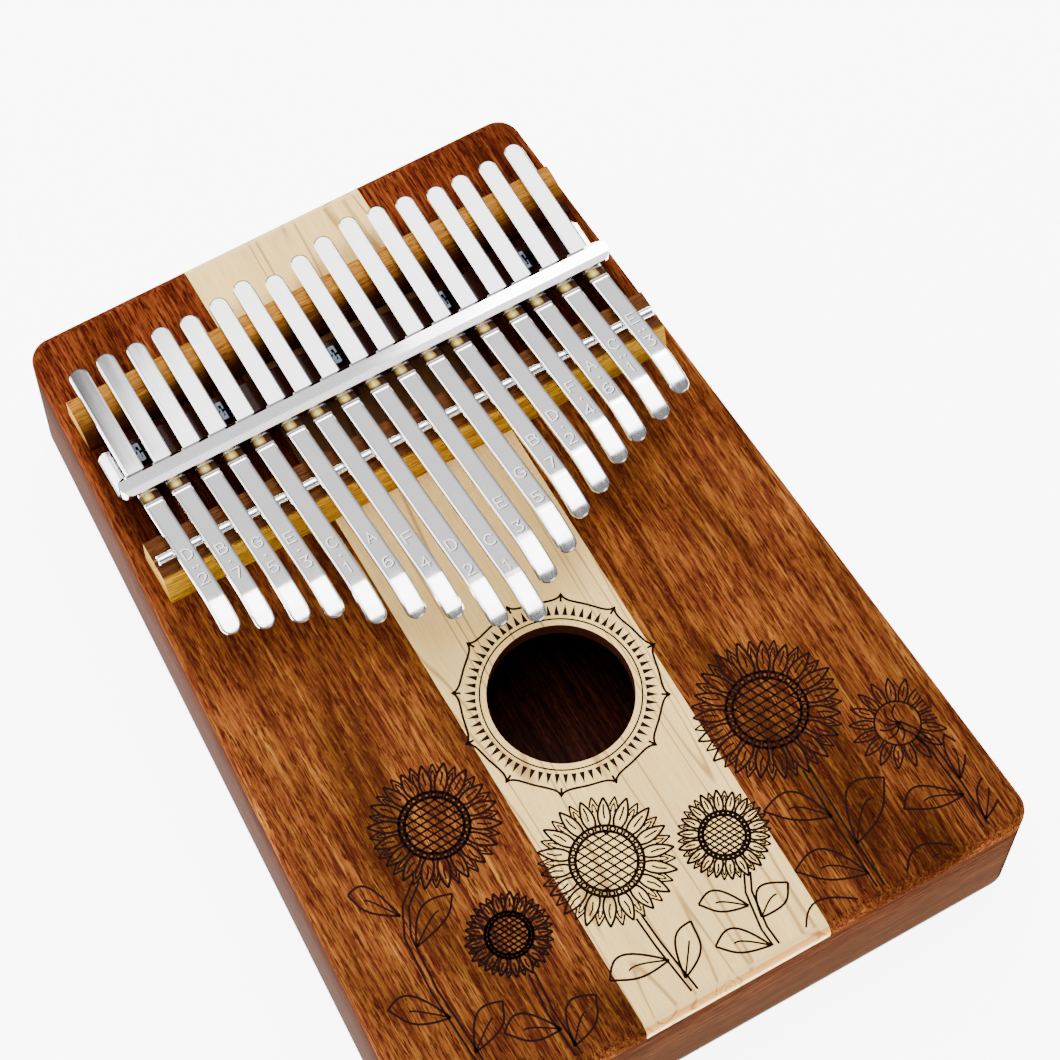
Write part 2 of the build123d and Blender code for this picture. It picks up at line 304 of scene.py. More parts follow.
def bridge_wood(name, seed, top_painted_shading, front_painted_shading, shadow_end=None):
    """Golden close-grained wood with the grain along the bridge.

    The top and the front face are multiplied by their painted shading and the left end by a painted yellow
    light; where shadow_end is given, a painted shadow darkens the wood in front of that Y, in units of 100
    mm.
    """
    s = Shader(name)
    fibre = s.noise(s.space(9, 0.32, 0.32), 4, 0.62, 0.1, seed)
    band = s.noise(s.space(30, 2.2, 2.2), 3, 0.5, 0.3, seed + 4)
    pore = s.noise(s.space(2.6, 0.22, 0.22), 2, 0.5, 0.0, seed + 8)
    base = s.ramp(
        fibre,
        (0.32, (0.190, 0.060, 0.008)),
        (0.47, (0.470, 0.210, 0.020)),
        (0.66, (0.660, 0.350, 0.040)),
    )
    base = s.mix(1.0, base, s.ramp(band, (0.35, 0.70), (0.65, 1.12)), "MULTIPLY")
    base = s.mix(s.ramp(pore, (0.52, 0.0), (0.66, 0.85)), base, (0.090, 0.025, 0.005))
    # painted light and shade by the way each face turns: the top, the front face and the left end
    turn = s.facing()
    base = s.mix(1.0, base, s.ramp(turn[2], (0.55, WHITE), (0.97, top_painted_shading)), "MULTIPLY")
    front = s.math("MULTIPLY", turn[1], -1.0)
    base = s.mix(1.0, base, s.ramp(front, (0.15, WHITE), (0.60, front_painted_shading)), "MULTIPLY")
    left = s.math("MULTIPLY", turn[0], -1.0)
    base = s.mix(1.0, base, s.ramp(left, (0.50, WHITE), (0.85, (1.0, 0.95, 0.50))), "MULTIPLY")
    if shadow_end:
        shade = s.ramp(s.place()[1], (shadow_end - 0.050, (0.22, 0.11, 0.13)), (shadow_end, WHITE))
        base = s.mix(1.0, base, shade, "MULTIPLY")
    s.colour(base)
    s.bump(fibre, 0.2, 0.05)
    s.set(Roughness=0.45, Specular_IOR_Level=0.04)
    return s.material


def raw_wood(name):
    """Unfinished wood inside the body."""
    s = Shader(name)
    fibre = s.noise(s.space(12, 0.5, 0.5), 3, 0.6, 0.1, 31)
    s.colour(s.ramp(fibre, (0.3, (0.34, 0.19, 0.09)), (0.7, (0.50, 0.32, 0.17))))
    s.bump(fibre, 0.3, 0.05)
    s.set(Roughness=0.7)
    return s.material


def polished(name, colour, low, high, fine):
    """Bright metal with faint polishing marks, of fine millimetres, and roughness low to high."""
    s = Shader(name)
    marks = s.noise(s.space(*fine), 3, 0.6, 0.0, 3)
    cloud = s.noise(s.space(6, 6, 6), 2, 0.5, 0.0, 8)
    s.colour(s.ramp(cloud, (0.3, tuple(0.96 * c for c in colour)), (0.7, colour)))
    s.link(s.ramp(marks, (0.35, low), (0.70, high)), s.bsdf.inputs["Roughness"])
    s.set(Metallic=1.0)
    return s.material


def tine_metal(name, patch_from, patch_to):
    """Polished steel, with a patch of painted gold reflection and painted shade between patch_from and
    patch_to mm on Y.
    """
    s = Shader(name)
    marks = s.noise(s.space(1.2, 14, 1.2), 3, 0.6, 0.0, 3)
    cloud = s.noise(s.space(6, 6, 6), 2, 0.5, 0.0, 8)
    painted_shade_jitter = s.noise(s.space(0.7, 0.4, 0.7), 3, 0.7, 0.0, 12)
    steel = s.ramp(cloud, (0.3, (0.865, 0.845, 0.845)), (0.7, (0.91, 0.895, 0.895)))
    x, y, _ = s.place()
    across = s.node("ShaderNodeSeparateXYZ")
    s.link(s.coord.outputs["Generated"], across.inputs[0])
    # painted shade on the outermost tails on the left, darkest at their left edges
    side = s.math("ADD", s.math("ADD", x, 0.9), s.math("MULTIPLY", across.outputs[0], 0.035))
    side = s.math("ADD", side, s.math("MULTIPLY", painted_shade_jitter, 0.02))
    painted_tail_shade = s.ramp(side, (0.395, 0.86), (0.425, 0.55), (0.470, 0.38), (0.540, 0.05), (0.60, 0.0))
    painted_tail_shade = s.math("MULTIPLY", painted_tail_shade, s.ramp(y, (0.52, 0.0), (0.56, 1.0)))
    steel = s.mix(painted_tail_shade, steel, (0.105, 0.100, 0.100))
    # painted shade: the tails, behind about y = 52 mm, are darker than the keys
    steel = s.mix(1.0, steel, s.ramp(y, (0.52, WHITE), (0.525, (0.46, 0.45, 0.45))), "MULTIPLY")
    # painted shade as a darker line along both long edges, and a painted highlight as a white rim outside
    # it
    rim = s.math("ABSOLUTE", s.math("SUBTRACT", across.outputs[0], 0.5), 0.0)
    line = s.ramp(rim, (0.340, 0.0), (0.350, 0.55), (0.375, 0.55), (0.385, 0.0))
    steel = s.mix(line, steel, (0.16, 0.15, 0.15))
    steel = s.mix(s.ramp(rim, (0.385, 0.0), (0.395, 1.0)), steel, WHITE)
    # painted reflection: gold across the middle of the patch, with painted shade at its sides and near its
    # front end
    painted_gold_reflection = s.ramp(
        across.outputs[0],
        (0.04, (0.020, 0.008, 0.004)),
        (0.16, (0.240, 0.150, 0.020)),
        (0.38, (0.900, 0.700, 0.240)),
        (0.58, (0.420, 0.270, 0.045)),
        (0.68, (0.035, 0.012, 0.006)),
        (1.00, (0.022, 0.008, 0.005)),
    )
    low, high, soft = patch_from / 100, patch_to / 100, 0.0006
    painted_gold_reflection = s.mix(s.ramp(y, (low + 0.006, 1.0), (low + 0.011, 0.0)), painted_gold_reflection, (0.024, 0.008, 0.005))
    patch = s.ramp(y, (low, 0.0), (low + soft, 1.0), (high, 1.0), (high + soft, 0.0))
    s.colour(s.mix(patch, steel, painted_gold_reflection))
    s.link(s.ramp(patch, (0.0, 1.0), (1.0, 0.0)), s.bsdf.inputs["Metallic"])
    s.set(Specular_IOR_Level=0.05)
    rough = s.mix(patch, s.ramp(marks, (0.35, 0.07), (0.70, 0.13)), (0.4, 0.4, 0.4))
    s.link(rough, s.bsdf.inputs["Roughness"])
    # a low lip where the patch ends, over the polishing marks
    lip = s.node("ShaderNodeBump")
    lip.inputs["Strength"].default_value = 1.0
    lip.inputs["Distance"].default_value = 0.40 * MM
    s.link(s.ramp(y, (low - 0.005, 0.0), (low, 1.0)), lip.inputs["Height"])
    s.bump(cloud, 0.05, 0.05)
    last = s.bsdf.inputs["Normal"].links[0].from_node
    s.link(lip.outputs["Normal"], last.inputs["Normal"])
    return s.material


def plain(name, colour, roughness, shine):
    """Paint or burnt wood with a fine mottle."""
    s = Shader(name)
    grain = s.noise(s.space(0.5, 0.5, 0.5), 2, 0.5, 0.0, 1)
    s.colour(s.ramp(grain, (0.3, tuple(0.85 * c for c in colour)), (0.7, colour)))
    s.set(Roughness=roughness, Metallic=0.0, Specular_IOR_Level=shine)
    return s.material


def chrome_with_painted_shade(name, clear_from):
    """Chrome at the ends, with painted shade in dark brown between the tines out to clear_from mm."""
    s = Shader(name)
    marks = s.noise(s.space(14, 1.2, 1.2), 3, 0.6, 0.0, 3)
    away = s.math("ABSOLUTE", s.place()[0], 0.0)
    edge = clear_from / 100
    painted_shade_end = edge - 0.004
    s.colour(s.ramp(away, (painted_shade_end, (0.022, 0.006, 0.004)), (edge, (0.90, 0.90, 0.91))))
    s.link(s.ramp(away, (painted_shade_end, 0.0), (edge, 1.0)), s.bsdf.inputs["Metallic"])
    s.link(s.ramp(marks, (0.35, 0.12), (0.70, 0.20)), s.bsdf.inputs["Roughness"])
    s.set(Specular_IOR_Level=0.05)
    return s.material


top_left = dark_wood("mahogany_top_left", 1.0, (0.86, 0.82, 0.98), figure=0.52, gloss=0.32, edge=True)
top_right = dark_wood("mahogany_top_right", 21.0, (0.82, 0.76, 0.90), figure=0.58, gloss=0.32, edge=True)
side_wood = dark_wood("mahogany_sides", 41.0, (0.22, 0.21, 0.50), wall_sheen=(0.100, 0.067, 0.055))
end_wood = dark_wood("mahogany_ends", 61.0, (0.26, 0.24, 0.50), along="x", wall_sheen=(0.066, 0.034, 0.019))
back_wood = dark_wood("mahogany_back", 81.0, (0.11, 0.07, 0.16), shine=0.02)
maple = maple_wood("maple_top")
# painted shading: the rear bridge's front face in shade, the front bridge's top in the tines' shade and
# its front face painted bright
bridge_rear_wood = bridge_wood("bridge_wood_rear", 5.0, (0.74, 0.62, 0.50), (0.25, 0.16, 0.12), 0.705)
bridge_front_wood = bridge_wood("bridge_wood_front", 25.0, (0.17, 0.10, 0.09), (1.25, 1.30, 0.60))
block_wood = raw_wood("block_wood")
tine_steel = tine_metal("tine_steel", 45.3, 47.9)
chrome = polished("chrome", (0.92, 0.92, 0.93), 0.04, 0.09, (14, 1.2, 1.2))
plate_chrome = chrome_with_painted_shade("plate_chrome", 51.6)
rod_steel = polished("rod_steel", (0.88, 0.88, 0.89), 0.10, 0.18, (14, 1.0, 1.0))
screw_steel = polished("screw_steel", (0.030, 0.034, 0.042), 0.05, 0.12, (1.2, 14, 1.2))
engraved = plain("engraved_mark", WHITE, 0.30, 1.0)
# dark copy of the label marks, as painted shade beside the engraving
engraving_painted_shade = plain("engraving_painted_shade", (0.07, 0.065, 0.07), 0.6, 0.05)
burnt = plain("burnt_line", (0.012, 0.004, 0.003), 0.85, 0.05)

FINISH = {
    "top_panel_left": top_left,
    "top_panel_centre": maple,
    "top_panel_right": top_right,
    "rim_left": side_wood,
    "rim_right": side_wood,
    "rim_front": end_wood,
    "rim_rear": end_wood,
    "back_panel": back_wood,
    "bridge_block": block_wood,
    "rear_bridge": bridge_rear_wood,
    "front_bridge": bridge_front_wood,
    "saddle_rod": rod_steel,
    "base_plate": plate_chrome,
    "pressure_bar": chrome,
    "base_plate_screws": screw_steel,
    "bar_studs": screw_steel,
}
for node_name, finish in FINISH.items():
    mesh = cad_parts[node_name].data
    mesh.materials.clear()
    mesh.materials.append(finish)


# ---- flat line work ---------------------------------------------------------
SAME_POINT = 1e-7
SHARPEST_MITRE = 0.45


class Strokes:
    """Thin flat strips, laid on a surface by a function (a, b) -> point."""

    def __init__(self, place):
        self.place = place
        self.verts = []
        self.faces = []

    def line(self, points, width, closed=False):
        points = [Vector(p) for p in points]
        if closed and (points[0] - points[-1]).length < SAME_POINT:
            points = points[:-1]
        count = len(points)
        if count < 2:
            return
        base = len(self.verts)
        for i, p in enumerate(points):
            before = points[i - 1] if (i > 0 or closed) else p
            after = points[(i + 1) % count] if (i < count - 1 or closed) else p
            d1 = (p - before).normalized() if (p - before).length > 0 else None
            d2 = (after - p).normalized() if (after - p).length > 0 else None
            d1 = d1 or d2
            d2 = d2 or d1
            middle = (d1 + d2)
            middle = middle.normalized() if middle.length > 1e-6 else d1
            normal = Vector((-middle.y, middle.x))
            stretch = 1.0 / max(SHARPEST_MITRE, abs(normal.dot(Vector((-d2.y, d2.x)))))
            half = normal * (width / 2 * stretch)
            self.verts.append(self.place(p + half))
            self.verts.append(self.place(p - half))
        for i in range(count if closed else count - 1):
            a = base + 2 * i
            b = base + 2 * ((i + 1) % count)
            self.faces.append((a, a + 1, b + 1, b))

    def blob(self, centre, radius, sides=8):
        base = len(self.verts)
        for i in range(sides):
            angle = 2 * math.pi * i / sides
            spoke = Vector((math.cos(angle), math.sin(angle)))
            self.verts.append(self.place(Vector(centre) + radius * spoke))
        self.faces.append(tuple(range(base, base + sides)))

    def triangle(self, a, b, c):
        base = len(self.verts)
        self.verts += [self.place(Vector(p)) for p in (a, b, c)]
        self.faces.append((base, base + 1, base + 2))

    def mesh(self, name):
        made = bpy.data.meshes.new(name)
        made.from_pydata([tuple(v) for v in self.verts], [], self.faces)
        for polygon in made.polygons:
            if polygon.normal.z < 0:
                polygon.flip()
        made.update()
        return made


def half_width(y):
    """Half the width of the body at y, from its straight tapering sides."""
    share = (y - FRONT) / (REAR - FRONT)
    return front_half + (rear_half - front_half) * share


FRONT_MARGIN = 2.5 * MM
SIDE_MARGIN = 2.7 * MM


def on_flat(p):
    """True on the flat of the top, inside its rounded edge."""
    return p.y > FRONT + FRONT_MARGIN and abs(p.x) < half_width(p.y) - SIDE_MARGIN


def runs(points, keep):
    """The stretches of a line where keep is true."""
    current = []
    for p in points:
        if keep(p):
            current.append(p)
        elif len(current) > 1:
            yield current
            current = []
        else:
            current = []
    if len(current) > 1:
        yield current


def resample(points, step):
    """The same line with points no further apart than about step."""
    points = [Vector(p) for p in points]
    made = [points[0]]
    for a, b in zip(points, points[1:]):
        count = max(1, int((b - a).length / step))
        made += [a.lerp(b, (i + 1) / count) for i in range(count)]
    return made


def bezier(a, b, c, d, count=14):
    """Points along a cubic curve from a to d."""
    a, b, c, d = Vector(a), Vector(b), Vector(c), Vector(d)
    made = []
    for i in range(count + 1):
        t = i / count
        rest = 1 - t
        made.append(rest ** 3 * a + 3 * t * rest ** 2 * b + 3 * t * t * rest * c + t ** 3 * d)
    return made


def inside(p, polygon):
    """True where the point is inside the closed outline."""
    hit = False
    for a, b in zip(polygon, polygon[1:] + polygon[:1]):
        if (a.y > p.y) != (b.y > p.y):
            if p.x < (b.x - a.x) * (p.y - a.y) / (b.y - a.y) + a.x:
                hit = not hit
    return hit


LINE_Z = TOP + 0.02 * MM
DRAW_STEP = 0.3 * MM
art = Strokes(lambda p: Vector((p.x, p.y, LINE_Z)))


def draw(points, width, keep=lambda p: True, closed=False):
    """A line on the top, cut off at the rounded edge of the panel."""
    points = [Vector(p) for p in points]
    if closed:
        if all(on_flat(p) and keep(p) for p in points):
            art.line(points, width, True)
            return
        points = points + points[:1]
    for run in runs(resample(points, DRAW_STEP), lambda p: on_flat(p) and keep(p)):
        art.line(run, width)


def polar(centre, radius, angle):
    """The point at radius and angle from a centre."""
    return Vector((centre[0] + radius * math.cos(angle), centre[1] + radius * math.sin(angle)))


def circle(centre, radius, sides):
    return [polar(centre, radius, math.tau * i / sides) for i in range(sides)]


# ---- rosette round the sound hole ------------------------------------------
CUSPS = 12
STEPS_PER_CUSP = 24
TEETH = 66
TOOTH_FOOT = 16.5 * MM
TOOTH_TIP = 18.8 * MM
TOOTH_SPREAD = 0.52 / 16.6
ROSETTE_LINE = 0.46 * MM


def cusp_radius(angle):
    """Millimetres from the centre to the scalloped outer line."""
    away = abs((angle * CUSPS / math.tau + 0.5) % 1.0 - 0.5) * 360 / CUSPS
    return 19.15 + 0.25 * (away / 15) + 1.75 * math.exp(-((away / 3.4) ** 0.8))


def rosette():
    art.line(circle(HOLE, 15.7 * MM, 120), 0.32 * MM, True)
    for i in range(TEETH):
        angle = math.tau * (i + 0.5) / TEETH
        art.triangle(
            polar(HOLE, TOOTH_FOOT, angle - TOOTH_SPREAD),
            polar(HOLE, TOOTH_FOOT, angle + TOOTH_SPREAD),
            polar(HOLE, TOOTH_TIP, angle),
        )
    edge = []
    for i in range(CUSPS * STEPS_PER_CUSP):
        angle = math.tau * i / (CUSPS * STEPS_PER_CUSP)
        edge.append(polar(HOLE, cusp_radius(angle) * MM, angle))
    art.line(edge, ROSETTE_LINE, True)
    for i in range(CUSPS):
        angle = math.tau * i / CUSPS
        art.line([polar(HOLE, 19.3 * MM, angle), polar(HOLE, 20.9 * MM, angle)], ROSETTE_LINE)


rosette()


# ---- sunflowers: generic line drawings ---------------------------------------
flower_areas = []


def petal(centre, start, end, angle, spread):
    """Outline of one pointed petal, as two mirrored curves."""
    sides = []
    for sign in (1, -1):
        sides.append(bezier(
            polar(centre, start, angle + sign * spread * 0.55),
            polar(centre, start + (end - start) * 0.35, angle + sign * spread * 1.10),
            polar(centre, start + (end - start) * 0.72, angle + sign * spread * 0.50),
            polar(centre, end, angle),
        ))
    return sides[0] + sides[1][::-1]


def lattice(centre, disc, line):
    """Two sets of parallel lines that cross on the seed disc."""
    gap = disc / 3.6 * 0.92
    for direction in (math.radians(3), math.radians(-63)):
        along = Vector((math.cos(direction), math.sin(direction)))
        across = Vector((-along.y, along.x))
        for k in range(-4, 5):
            offset = k * gap
            if abs(offset) < disc * 0.97:
                reach = math.sqrt(disc * disc - offset * offset)
                mid = Vector(centre) + across * offset
                draw([mid - along * reach, mid + along * reach], line * 0.8)


def bead_ring(centre, disc, ring, line):
    """Small circles between the seed disc and the petals, and the two lines beside them."""
    middle = (disc + ring) / 2
    beads = int(math.tau * middle / ((ring - disc) * 1.15))
    for i in range(beads):
        bead = polar(centre, middle, math.tau * i / beads)
        draw(circle(bead, (ring - disc) * 0.42, 8), line * 0.9, closed=True)
    for radius in (disc, ring):
        draw(circle(centre, radius, 72), line * 1.15, closed=True)


def sunflower(x, y, size, count, line, turn):
    """One flower: front petals, the petals showing between them, beads and seeds."""
    centre = (x * MM, y * MM)
    size *= MM
    line *= MM
    disc = 0.44 * size
    ring = 0.53 * size
    spread = math.pi / count
    fronts = []
    for i in range(count):
        angle = turn + math.tau * i / count
        reach = size * (0.97 + 0.03 * math.sin(5.0 * i + x))
        fronts.append(petal(centre, ring, reach, angle, spread))

    def between(p):
        return not any(inside(p, front) for front in fronts)

    for i in range(count):
        angle = turn + math.tau * (i + 0.5) / count
        draw(petal(centre, ring, size * 0.97, angle, spread * 0.9), line * 0.8, between)
        draw(petal(centre, size * 0.74, size * 0.87, angle, spread * 0.26), line * 0.6, between)
    for i, front in enumerate(fronts):
        angle = turn + math.tau * i / count
        draw(front, line)
        bend = 0.02 * math.sin(3.0 * i)
        vein = [
            polar(centre, ring + (size - ring) * 0.22, angle - bend),
            polar(centre, ring + (size - ring) * 0.45, angle + bend),
            polar(centre, ring + (size - ring) * 0.68, angle),
        ]
        draw(vein, line * 0.75)
    bead_ring(centre, disc, ring, line)
    lattice(centre, disc, line)
    flower_areas.append((Vector(centre), size * 0.90))


def clear_of_flowers(p):
    """True outside every flower drawn so far, so that stems and leaves stop there."""
    return all((p - centre).length > radius for centre, radius in flower_areas)


def stem(points, line, gap, keep=clear_of_flowers):
    """Two parallel lines, each gap mm from the middle."""
    path = resample([Vector(p) * MM for p in points], 1.0 * MM)
    for side in (-1, 1):
        shifted = []
        for i, p in enumerate(path):
            ahead = path[min(i + 1, len(path) - 1)]
            behind = path[max(i - 1, 0)]
            way = (ahead - behind).normalized()
            shifted.append(p + side * gap * MM * Vector((-way.y, way.x)))
        draw(shifted, line * MM, keep)


def leaf(root, tip, bulge_a, bulge_b, line):
    """A leaf from its root to its pointed tip, with bulges on either side and a vein."""
    r = Vector(root) * MM
    t = Vector(tip) * MM
    a = Vector(bulge_a) * MM
    b = Vector(bulge_b) * MM
    hook = (t - r) * 0.10
    first = bezier(r, r.lerp(a, 1.15), a.lerp(t, 0.35) + (a - r) * 0.12, t)
    second = bezier(r, r.lerp(b, 1.15), b.lerp(t, 0.55) - hook, t)
    draw(first, line * MM, clear_of_flowers)
    draw(second, line * MM, clear_of_flowers)
    middle = (a + b) / 2
    vein_end = r.lerp(t, 0.62) * 0.5 + middle.lerp(t, 0.3) * 0.5
    draw(bezier(r, r.lerp(middle, 0.6), middle, vein_end), line * 0.8 * MM, clear_of_flowers)


# widths of the lines, in millimetres
THIN = 0.42
BOLD = 0.46
sunflower(32.7, -48.9, 15.0, 19, 0.46, 0.10)
sunflower(-34.3, -37.7, 12.8, 18, 0.48, 0.22)
sunflower(-9.6, -60.0, 13.4, 18, 0.46, 0.05)
sunflower(12.3, -66.6, 9.2, 18, 0.46, 0.15)
sunflower(-32.8, -63.5, 8.6, 17, 0.48, 0.30)



def back_flower(centre, size):
    """The small flower seen from behind, with the cup of its stalk in the middle."""
    petals = 17
    for i in range(petals):
        angle = math.tau * i / petals + 0.1
        draw(petal(centre, size * 0.49, size, angle, math.pi / petals), 0.38 * MM)
        draw([polar(centre, size * 0.60, angle), polar(centre, size * 0.82, angle)], 0.30 * MM)
    draw(circle(centre, size * 0.48, 60), 0.40 * MM, closed=True)
    start = polar(centre, size * 0.03, 0)
    for angle in (1.15, 1.75, 2.4, 3.0, 3.65, 4.4):
        first = polar(centre, size * 0.16, angle + 0.7)
        second = polar(centre, size * 0.28, angle + 0.45)
        end = polar(centre, size * 0.40, angle)
        draw(bezier(start, first, second, end), 0.38 * MM)


back_flower((53.0 * MM, -63.7 * MM), 9.4 * MM)
back_stalk = [(53.0, -63.9), (54.9, -66.6), (56.0, -70.5), (56.5, -80.3), (56.3, -91.1)]
stem(back_stalk, THIN, 0.6, keep=lambda p: True)
leaf((57.2, -79.2), (59.5, -70.0), (57.4, -73.5), (62.6, -75.0), THIN)
leaf((56.0, -82.3), (44.6, -79.1), (50.0, -75.2), (50.5, -82.8), THIN)
leaf((57.0, -88.5), (63.0, -80.5), (57.6, -83.0), (63.2, -86.0), THIN)
leaf((52.0, -93.0), (36.8, -92.5), (44.0, -84.5), (44.0, -92.4), THIN)

stem([(32.8, -63.0), (32.4, -76.0), (32.6, -92.0)], THIN, 0.7)
leaf((32.0, -73.6), (21.2, -66.3), (29.6, -64.6), (25.3, -71.4), THIN)
leaf((33.2, -80.5), (44.8, -71.8), (35.6, -69.0), (41.2, -78.4), THIN)
leaf((32.0, -86.6), (20.0, -79.4), (28.4, -77.0), (24.8, -85.0), THIN)
leaf((33.0, -95.0), (14.6, -92.5), (22.0, -84.0), (22.0, -92.5), THIN)

stem([(12.2, -75.0), (10.4, -78.5), (9.2, -86.0), (9.6, -92.0)], BOLD, 0.6)
leaf((9.9, -84.0), (17.8, -80.6), (11.0, -77.8), (15.8, -84.6), BOLD)
leaf((9.0, -80.8), (0.9, -76.0), (6.0, -74.4), (3.6, -80.0), BOLD)
leaf((8.6, -89.5), (-0.6, -84.6), (5.2, -82.2), (2.6, -88.6), BOLD)

stem([(-10.0, -72.5), (-9.6, -79.0), (-8.0, -92.0)], BOLD, 0.6)
leaf((-9.4, -82.5), (-21.0, -80.5), (-16.0, -76.0), (-15.6, -83.6), BOLD)
leaf((-8.6, -87.0), (-2.0, -78.0), (-7.4, -79.4), (-2.2, -84.6), BOLD)

stem([(-41.0, -44.2), (-46.8, -49.0), (-49.4, -54.5), (-50.2, -66.0), (-49.0, -92.0)], THIN, 0.6)
leaf((-48.6, -50.2), (-55.2, -41.8), (-50.4, -41.6), (-54.4, -46.8), THIN)
leaf((-48.9, -57.0), (-38.0, -51.2), (-45.8, -50.0), (-40.4, -55.4), THIN)
leaf((-50.0, -72.0), (-59.5, -65.0), (-53.6, -63.8), (-57.0, -70.8), THIN)
leaf((-49.4, -80.0), (-40.2, -74.0), (-46.6, -73.0), (-41.8, -79.0), THIN)

stem([(-32.9, -72.0), (-33.6, -80.0), (-33.0, -92.0)], THIN, 0.6)
leaf((-33.4, -84.0), (-43.0, -79.5), (-37.6, -76.6), (-39.4, -84.4), THIN)
leaf((-33.0, -88.0), (-24.6, -81.5), (-31.6, -79.6), (-26.6, -87.0), THIN)

art_piece = bpy.data.objects.new("top_line_art", art.mesh("top_line_art"))
bpy.context.scene.collection.objects.link(art_piece)
art_piece.data.materials.append(burnt)
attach(art_piece, ROOT)


# ---- tines ------------------------------------------------------------------
class TinePath:
    """The top line of one tine in side view, by length from its rear end."""

    def __init__(self, tail_end, tip_y, tail_top):
        speaking = ROD_Y - tip_y
        curl_length = CURL_BASE + CURL_SHARE * speaking
        self.curl_radius = curl_length / (SLOPE + TIP)
        self.tail_end = tail_end
        self.tail_top = tail_top
        self.tail = tail_end - BAR_Y
        self.bend = CROWN * SLOPE
        self.line_y = BAR_Y - CROWN * math.sin(SLOPE)
        self.line_z = tail_top + CROWN * (1 - math.cos(SLOPE))
        self.curl_y = tip_y + self.curl_radius * math.sin(TIP)
        start_y = self.curl_y + self.curl_radius * math.sin(SLOPE)
        start_z = self.line_z + (self.line_y - start_y) * math.tan(SLOPE)
        self.curl_z = start_z - self.curl_radius * math.cos(SLOPE)
        self.straight = (self.line_y - start_y) / math.cos(SLOPE)
        self.total = self.tail + self.bend + self.straight + curl_length

    def at(self, s):
        """(y, z, slope) of the top surface at length s."""
        if s <= self.tail:
            return self.tail_end - s, self.tail_top, 0.0
        s -= self.tail
        if s <= self.bend:
            angle = s / CROWN
            rise = CROWN * (1 - math.cos(angle))
            return BAR_Y - CROWN * math.sin(angle), self.tail_top + rise, angle
        s -= self.bend
        if s <= self.straight:
            return self.line_y - s * math.cos(SLOPE), self.line_z + s * math.sin(SLOPE), SLOPE
        angle = SLOPE - (s - self.straight) / self.curl_radius
        y = self.curl_y + self.curl_radius * math.sin(angle)
        z = self.curl_z + self.curl_radius * math.cos(angle)
        return y, z, angle

    def point(self, x, s, depth):
        """The point at x and length s, depth below the top surface."""
        y, z, angle = self.at(s)
        return Vector((x, y - depth * math.sin(angle), z - depth * math.cos(angle)))


# strokes of the note letters and octave numbers, in a box one unit wide and high
GLYPHS = {
    "A": [[(0, 0), (.5, 1), (1, 0)], [(.2, .36), (.8, .36)]],
    "B": [[(0, 0), (0, 1), (.6, 1), (.85, .9), (.88, .72), (.8, .58), (.6, .52), (0, .52)],
          [(.6, .52), (.9, .44), (1, .26), (.9, .08), (.62, 0), (0, 0)]],
    "C": [[(1, .8), (.8, .95), (.5, 1), (.2, .9), (.02, .65), (.02, .35), (.2, .1), (.5, 0), (.8, .05),
           (1, .2)]],
    "D": [[(0, 0), (0, 1), (.5, 1), (.85, .84), (1, .5), (.85, .16), (.5, 0), (0, 0)]],
    "E": [[(1, 1), (0, 1), (0, 0), (1, 0)], [(0, .52), (.82, .52)]],
    "F": [[(1, 1), (0, 1), (0, 0)], [(0, .52), (.82, .52)]],
    "G": [[(1, .8), (.8, .95), (.5, 1), (.2, .9), (.02, .65), (.02, .35), (.2, .1), (.5, 0), (.82, .06),
           (1, .2), (1, .46), (.55, .46)]],
    "1": [[(.2, .76), (.55, 1), (.55, 0)]],
    "2": [[(.02, .78), (.2, .95), (.5, 1), (.85, .92), (.95, .70), (.78, .45), (0, 0), (1, 0)]],
    "3": [[(.05, 1), (.95, 1), (.45, .6), (.82, .52), (1, .30), (.82, .06), (.45, 0), (.05, .12)]],
    "4": [[(.72, 0), (.72, 1), (0, .3), (1, .3)]],
    "5": [[(.9, 1), (.15, 1), (.08, .55), (.5, .62), (.88, .50), (1, .28), (.82, .06), (.4, 0),
           (0, .12)]],
    "6": [[(.85, .95), (.5, 1), (.15, .8), (0, .4), (.1, .1), (.5, 0), (.9, .12), (1, .33), (.8, .55),
           (.5, .6), (.08, .42)]],
    "7": [[(0, 1), (1, 1), (.38, 0)]],
}
# note letter, dots for the octave, and number, from the left tine to the right one
LABELS = ["D:2", "B.7", "G.5", "E.3", "C.1", "A 6", "F 4", "D 2", "C 1",
          "E 3", "G 5", "B 7", "D.2", "F.4", "A.6", "C:1", "E:3"]
GLYPH_WIDE = 1.75 * MM
GLYPH_HIGH = 2.6 * MM
GLYPH_LINE = 0.31 * MM
DOT_RADIUS = 0.26 * MM
MARK_LIFT = 0.03 * MM
SHADE_LIFT = 0.015 * MM
SHADE_SHIFT = 0.18 * MM
LETTER_FROM_TIP = 20.3 * MM
NUMBER_FROM_TIP = 13.3 * MM
DOTS_FROM_TIP = 16.6 * MM


def label_strokes(path, centre_x, text, shift, lift):
    """The letter, dots and number of one tine, as strips lifted off its top face."""

    def place(p):
        return path.point(centre_x + p.x + shift, path.total - p.y + shift, -lift)

    strokes = Strokes(place)
    for character, height in ((text[0], LETTER_FROM_TIP), (text[2], NUMBER_FROM_TIP)):
        for polyline in GLYPHS[character]:
            points = [((a - 0.5) * GLYPH_WIDE, height + (b - 0.5) * GLYPH_HIGH) for a, b in polyline]
            strokes.line(points, GLYPH_LINE)
    dots = {" ": (), ".": (0.0,), ":": (-0.5, 0.5)}[text[1]]
    for x in dots:
        strokes.blob((x * MM, DOTS_FROM_TIP), DOT_RADIUS)
    return strokes


END_STEPS = 12
LENGTH_STEP = 0.9 * MM
